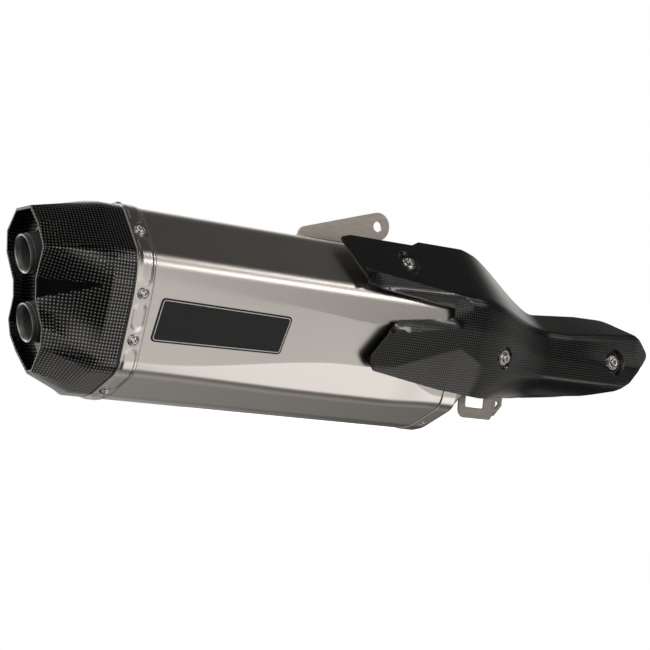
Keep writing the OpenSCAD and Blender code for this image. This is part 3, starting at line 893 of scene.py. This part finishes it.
def build_end_cap():
    """The faceted shell, and the floor round the outlets inside its mouth."""
    spokes = cap_spokes()
    shares = spread(0, 1, 0.125)

    def collar_ring(x, inset):
        return [(x, *(point - normal * inset)) for point, normal, _, _ in spokes]

    rings = [collar_ring(BAND_W, SHEET), collar_ring(COLLAR_GAP / 2, SHEET), collar_ring(-COLLAR_GAP, 0)]
    rings += [[cap_point(s, t, 0) for s in spokes] for t in shares]
    rings += [[cap_point(s, t, CAP_WALL) for s in spokes] for t in reversed(shares)]
    rings += [collar_ring(BAND_W, SHEET + CAP_WALL)]
    cap = built("end_cap_shell", *looped(rings), "end_cap", sharp=14, bevel=0.9, levels=3)
    # the waist flat of the cap is painted plain dark: painted shade
    weave_by_side(cap, on_painted_dark_waist)
    edge = [tuple(cap_point(s, FLOOR_SHARE, CAP_WALL + 0.1))[1:] for s in spokes]
    floor_x = (mouth_x(0) - COLLAR) * FLOOR_SHARE + COLLAR
    holes = [circle(outlet_at(which, floor_x), OUTLET_R + 0.4, 48) for which in RIMS]
    flat, triangles = filled([edge, *holes])
    front = [(floor_x - MOUTH_LEAN * FLOOR_SHARE * z, y, z) for y, z in flat]
    back = [(x + FLOOR_T, y, z) for x, y, z in front]
    weave_by_side(built("end_cap_floor", *thick(front, back, triangles), "end_cap"))


def build_outlet(which):
    """A tube with a turned rim, whose front edge is bare metal."""
    axis = Vector((math.cos(TILT), 0, math.sin(TILT)))
    points, faces = ring_shape([(r, h, 0) for r, h in OUTLET], facing(RIMS[which], axis), 72)
    # square the far end off at the rear baffle
    points = [Vector(p) for p in points]
    points = [p - axis * max(0.0, (p.x - REAR_BAFFLE_X) / axis.x) for p in points]
    outlet = built("outlet_" + which, points, faces, "outlet_tube_" + which, sharp=35)
    outlet.data.materials.append(LOOKS["outlet_lip"])
    rim = placed(RIMS[which])
    for face in outlet.data.polygons:
        if (face.center - rim).dot(axis) < LIP_DEPTH * MM:
            face.material_index = 1


build_end_cap()
build_outlet("upper")
build_outlet("lower")

# ---------------------------------------------------------------- heat shield
LAMINATE = 2.4
# Distance of the outer face from the sleeve, and how far the slot's walls come down from there
STAND_OFF, SLOT_DROP = 13.0, 6.0
# Along x, where the section changes from following the sleeve to following the pipe
MORPH_FROM, MORPH_TO = 405, 530
# Numbers of the section's corners, spaced about as the corners are
ROWS = [0, 1, 2, 5, 7, 12]
# Outline as (x, z) of the outer face, from the upper arm's top corner, with the radius of each corner
SHIELD_OUTLINE = [
    (246, 96, 2), (249, 84, 30), (259, 54, 4), (279, 48.5, 30), (332, 43, 40), (373, 37.5, 3), (375, 26, 2),
    (299, 15, 4), (271, -29, 7), (281, -39.5, 6), (371, -51.2, 40), (432, -55.6, 40), (529, -50, 60),
    (596, -40, 40), (640, -29, 12), (657, -18, 9), (684, 17, 9), (671, 37, 7), (638, 53, 40), (592, 52.5, 30),
    (510, 45.5, 24), (472, 80.3, 60), (437, 100, 50), (412, 106, 20), (352, 105.6, 6), (341, 100.5, 6),
    (260, 100, 4),
]
# Where the slot's bevelled walls meet the outer face, from the upper arm's tip round to the lower arm's
SLOT_RIDGE = [(273, 62.5), (328, 56.1), (382, 49.5), (391, 43), (392.5, 35), (382, 16), (314, 3.8), (300, 3)]
SLOT_FROM, SLOT_TO = 262, 394
# The part of the outline that the slot's walls lead down to
SLOT_EDGE = [(259, 54), (279, 48.5), (332, 43), (373, 37.5), (375, 26), (299, 15)]
# Crease over which the lower part of the shield folds under
FOLD = [(262, -36), (303, -34), (384, -5), (427, -23), (487, -26), (551, -24), (616, -23.5), (662, -14)]
FOLD_SLOPE = 0.10
# Centre (x, z), radius and depth of the recess of each screw, and the run of its sloping wall
SEATS = [((325, 79), 9.5, 2.2), ((453, -8.9), 9.5, 2.0), ((631, 3.7), 12, 5.5)]
SEAT_WALL = 3.0
SCREW_HOLE_R = 4.2
# Along x, where the front end narrows
NOSE_FROM, NOSE_TO = 560, 668
# How far, in rows, each corner of the section is softened
SOFT_ROWS = 0.35


def shield_section(x, off):
    """The shield's outer face at x as (y, z) for each of ROWS, at that stand-off from the sleeve."""
    low, side = Vector((-30 - off, -68)), Vector((-50 - off, 15))
    by_sleeve = [low, low.lerp(side, 0.2), low.lerp(side, 0.4), side, Vector((-50 - off, 42 + off * 0.4)),
                 Vector((2 - off * 0.74, 98.5 + off * 0.68))]
    nose = min(1.0, max(0.0, (x - NOSE_FROM) / (NOSE_TO - NOSE_FROM)))
    drop = off - STAND_OFF
    by_pipe = [Vector((10, -51.5 - drop)), Vector((-16 - drop * 0.7, -43 - drop * 0.7)),
               Vector((-33 - drop, -24)), Vector((-35 - drop, 0)),
               Vector((-34 + 6 * nose - drop, 27 + 11 * nose)), Vector((6, 57 + drop))]
    t = between(x, MORPH_FROM, MORPH_TO)
    return [a.lerp(b, t) for a, b in zip(by_sleeve, by_pipe)]


def smoothed(rows, values, at, soft):
    """Piecewise-linear values over rows, read at one row and averaged over a span of soft rows each way."""
    return sum(np.interp(at + soft * k / 4, rows, values) for k in range(-4, 5)) / 9


def shield_yz(x, row, off):
    """Point (y, z) of the shield, its corners softened, at x and a row that may lie between two of ROWS."""
    corners = shield_section(x, off)
    row = min(ROWS[-1], max(0.0, row))
    soft = min(SOFT_ROWS, row, ROWS[-1] - row)
    return tuple(smoothed(ROWS, [c[axis] for c in corners], row, soft) for axis in (0, 1))


def row_at(x, z):
    """The row at which the shield's full face has a height."""
    corners = shield_section(x, STAND_OFF)
    return float(np.interp(z, [c.y for c in corners], ROWS))


def distance_to(line, p):
    """Least distance from p to a polyline, and whether p lies on its right."""
    best, right = 1e9, False
    for a, b in zip(line, line[1:]):
        a, b = Vector(a), Vector(b)
        t = min(1.0, max(0.0, (p - a).dot(b - a) / (b - a).length_squared))
        gap = (p - a.lerp(b, t)).length
        if gap < best - 1e-6:
            side = (b - a).x * (p - a).y - (b - a).y * (p - a).x
            best, right = gap, side < 0
    return best, right


def shield_drop(x, z):
    """How far the outer face lies below its full stand-off at (x, z)."""
    p = Vector((x, z))
    to_ridge, past_ridge = distance_to(SLOT_RIDGE, p)
    to_edge, _ = distance_to(SLOT_EDGE, p)
    drop = 0.0
    if past_ridge and SLOT_FROM < x < SLOT_TO:
        drop = SLOT_DROP * to_ridge / max(0.01, to_ridge + to_edge)
    below, under = distance_to(FOLD, p)
    if under:
        drop += FOLD_SLOPE * below
    for seat, r, depth in SEATS:
        away = (p - Vector(seat)).length
        drop += depth * (1 - ease((away - r) / SEAT_WALL))
    return drop


def cleaned(points, gap=0.8):
    """The points less those that come within that gap of the last one kept."""
    kept = [points[0]]
    for p in points[1:]:
        if (Vector(p) - Vector(kept[-1])).length > gap:
            kept.append(p)
    return kept


def divided(line, step, closed=True):
    """The line with points added, about a step apart."""
    out = []
    pairs = zip(line, line[1:] + line[:1]) if closed else zip(line, line[1:])
    for a, b in pairs:
        a, b = Vector(a), Vector(b)
        n = max(1, round((b - a).length / step))
        out += [tuple(a.lerp(b, k / n)) for k in range(n)]
    if not closed:
        out.append(tuple(line[-1]))
    return out


ROW_WIDTH = 14.0
GRID = 3.2
GRID_FROM, GRID_SPAN = 241, 450


def build_shield():
    """The sheet, meshed flat as (x, width round it) with its creases and recesses as lines, then folded."""
    corners = [(x, z) for x, z, _ in SHIELD_OUTLINE]
    radii = [r for _, _, r in SHIELD_OUTLINE]

    def flat(p):
        return p[0], row_at(*p) * ROW_WIDTH

    loop = [flat(p) for p in divided(cleaned(rounded(corners, radii)), GRID)]
    holes = [[flat(p) for p in circle(seat, SCREW_HOLE_R, 24)] for seat, _, _ in SEATS]
    lines = [[flat(p) for p in divided(line, GRID, False)] for line in (SLOT_RIDGE[:-1], FOLD[1:-1])]
    lines += [[flat(p) for p in circle(seat, r + more, 40)] for seat, r, _ in SEATS for more in (0.5, 1.6, 3.2)]
    grid = [(GRID_FROM + i * GRID, (j + 0.5 * (i % 2)) * GRID)
            for i in range(int(GRID_SPAN / GRID)) for j in range(int(ROWS[-1] * ROW_WIDTH / GRID))]
    found, triangles = filled([loop, *holes], [p for p in grid if inside(p, loop)], lines)
    outer, inner = [], []
    for x, s in found:
        row = s / ROW_WIDTH
        z = shield_yz(x, row, STAND_OFF)[1]
        off = STAND_OFF - shield_drop(x, z)
        outer.append((x, *shield_yz(x, row, off)))
        inner.append((x, *shield_yz(x, row, off - LAMINATE)))
    shield = built("heat_shield_shell", *thick(outer, inner, triangles), "heat_shield", sharp=20, bevel=0.7)
    # The shield takes the darker copy of the carbon: painted shade.
    shield.data.materials[0] = LOOKS["carbon_shield"]
    weave_by_side(shield)


FLANGED = [(3, -9, 0), (3, 0, 0), (6.6, 0, 0), (6.8, 0.5, 0), (6.4, 1.2, 0), (5.2, 1.5, 0), (5.0, 3.4, 0),
           (4.5, 4.1, 0), (2.9, 4.2, 0), (2.5, 3.9, 6), (2.4, 2.0, 6)]
WASHER = [(3.2, 0, 0), (8.0, 0, 0), (8.2, 0.5, 0), (8.0, 1.0, 0), (3.2, 1.0, 0)]
SPACER = [(3.5, -2.2, 0), (8.6, -2.2, 0), (8.6, -0.2, 0), (3.5, -0.2, 0)]


def seat_place(seat, depth):
    """Where a fastener sits on the shield: a point below the outer face and the face's normal."""
    x, z = seat

    def at(dx, dz):
        row = row_at(x + dx, z + dz)
        return Vector((x + dx, *shield_yz(x + dx, row, STAND_OFF)))

    normal = (at(3, 0) - at(-3, 0)).cross(at(0, 3) - at(0, -3)).normalized()
    if normal.y > 0:
        normal = -normal
    return at(0, 0) - normal * depth, normal


def build_shield_fasteners():
    """A screw, its washer above the sheet and its spacer below it at each seat."""
    screws, washers, spacers = [], [], []
    for i, (seat, _, depth) in enumerate(SEATS):
        place = facing(*seat_place(seat, depth), 0.4 * i)
        washers.append(ring_shape(WASHER, place, 40))
        screws.append(turned(FLANGED, place @ Matrix.Translation((0, 0, 1.0)), 48))
        spacers.append(ring_shape(SPACER, place @ Matrix.Translation((0, 0, -LAMINATE - 0.1)), 40))
    built("shield_screws_turned", *joined(screws), "shield_screws", sharp=40)
    built("shield_washers_turned", *joined(washers), "shield_washers", sharp=40)
    built("shield_spacers_turned", *joined(spacers), "shield_spacers", sharp=40)


build_shield()
build_shield_fasteners()


# ---------------------------------------------------------------- brackets, from sheet
def plate(loops, place, thickness):
    """Points and faces of a sheet cut to loops, the first its outline, set in space by place(a, b, depth)."""
    flat, triangles = filled(loops)
    front = [place(a, b, 0) for a, b in flat]
    back = [place(a, b, thickness) for a, b in flat]
    return thick(front, back, triangles)

HANGER_Y, HANGER_T = 30, 3.0
HANGER_HOLE, HANGER_HOLE_R = (325, 120.5), 5.8
# The bracket's round tip: its radius, and the angles it runs between
TIP_R, TIP_FROM, TIP_TO = 15.3, 107, -65


def build_hanger():
    """The upright plate with the bolt hole."""
    tip = [(HANGER_HOLE[0] + TIP_R * math.cos(a), HANGER_HOLE[1] + TIP_R * math.sin(a))
           for a in np.radians(np.linspace(TIP_FROM, TIP_TO, 26))]
    loop = rounded([(222, 92), (225.5, 104), (230, 107), (320, 134.9)], [0, 3, 4, 0], 8) + tip[1:]
    loop += [(333, 104), (333, 92)]
    sheet = plate([cleaned(loop, 0.3), circle(HANGER_HOLE, HANGER_HOLE_R, 40)],
                  lambda a, b, d: (a, HANGER_Y + d, b), HANGER_T)
    built("hanger", *sheet, "hanger_bracket", sharp=40, bevel=0.4)


TOP_SIDE = (Vector((-4, 92)), Vector((50, 96)))
FOOT_T = 2.0


def build_hanger_foot():
    """The pad between the plate and the sleeve's top side."""
    along = (TOP_SIDE[1] - TOP_SIDE[0]).normalized()
    up = Vector((-along.y, along.x))
    loop = rounded([(222, 16), (340, 16), (340, 40), (222, 40)], 5, 6)
    sheet = plate([loop], lambda a, b, d: (a, *(TOP_SIDE[0] + along * b + up * d)), FOOT_T)
    built("hanger_pad", *sheet, "hanger_foot", sharp=40, bevel=0.5)


BRACKET_Y, BRACKET_T = -15, 2.0
FOLD_X, FOLD_ANGLE = 469, math.radians(20)


def build_lower_bracket():
    """A windowed plate under the pipe, with rounded lower corners and a leg folded inwards."""
    outer = rounded([(421, -24), (421, -77), (466, -77), (469, -72), (469, -24)], [0, 9, 3, 0, 0], 6)
    window = rounded([(430, -65), (456, -65), (456, -52), (430, -52)], 2, 4)
    leg = rounded([(-1, -30), (-1, -72), (4, -72), (19, -60), (19, -30)], [0, 0, 3, 4, 0], 5)
    hole = rounded([(5, -65), (14, -57), (5, -54)], 1, 4)
    back_y = BRACKET_Y - BRACKET_T

    def fold(a, b, d):
        return (FOLD_X + a * math.cos(FOLD_ANGLE) - d * math.sin(FOLD_ANGLE),
                back_y + a * math.sin(FOLD_ANGLE) + d * math.cos(FOLD_ANGLE), b)

    sheets = [plate([cleaned(outer, 0.3), window], lambda a, b, d: (a, back_y + d, b), BRACKET_T),
              plate([cleaned(leg, 0.3), hole], fold, BRACKET_T)]
    built("bracket", *joined(sheets), "lower_bracket", sharp=40, bevel=0.35)


build_hanger()
build_hanger_foot()
build_lower_bracket()

# ---------------------------------------------------------------- badge: a blank plate with a plain border
BADGE = [(31.5, 5.5), (178.5, 4), (172.5, -34), (27.5, -36.5)]


def on_lean(x, z, lift):
    """A point on the sleeve's outer side, by x and height, moved outwards by lift."""
    points, normals = outline(x)
    for a, b, na, nb in zip(points, points[1:] + points[:1], normals, normals[1:] + normals[:1]):
        if max(a.x, b.x) < 0 and min(a.y, b.y) <= z <= max(a.y, b.y) and abs(b.y - a.y) > 1e-6:
            t = (z - a.y) / (b.y - a.y)
            return (x, *(a.lerp(b, t) + na.lerp(nb, t).normalized() * lift))
    raise ValueError("no point on the outer side")


def shrunk(points, by):
    """A clockwise polygon moved inwards by that much."""
    return [tuple(Vector(p) - m * by) for p, m in zip(points, polygon_normals(points))]


def build_badge():
    edge = rounded(BADGE, 4, 6)
    grid = [(x, z) for x in spread(34, 172, 6) for z in spread(-33, 2, 5) if inside((x, z), edge)]
    border = [divided(rounded(shrunk(BADGE, 1.5), 3, 6), 4), divided(rounded(shrunk(BADGE, 2.3), 2.3, 6), 4)]
    made = []
    for name, loops, extra, top, bottom, bevel in (("badge", [edge], grid, 0.9, -0.1, 0.25),
                                                   ("badge_border", border, (), 1.02, 0.8, 0.0)):
        flat, triangles = filled(loops, extra)
        front, back = ([on_lean(x, z, lift) for x, z in flat] for lift in (top, bottom))
        made.append(built(name, *thick(front, back, triangles), "badge_plate", sharp=40, bevel=bevel))
    made[1].data.materials[0] = LOOKS["badge_line"]


build_badge()
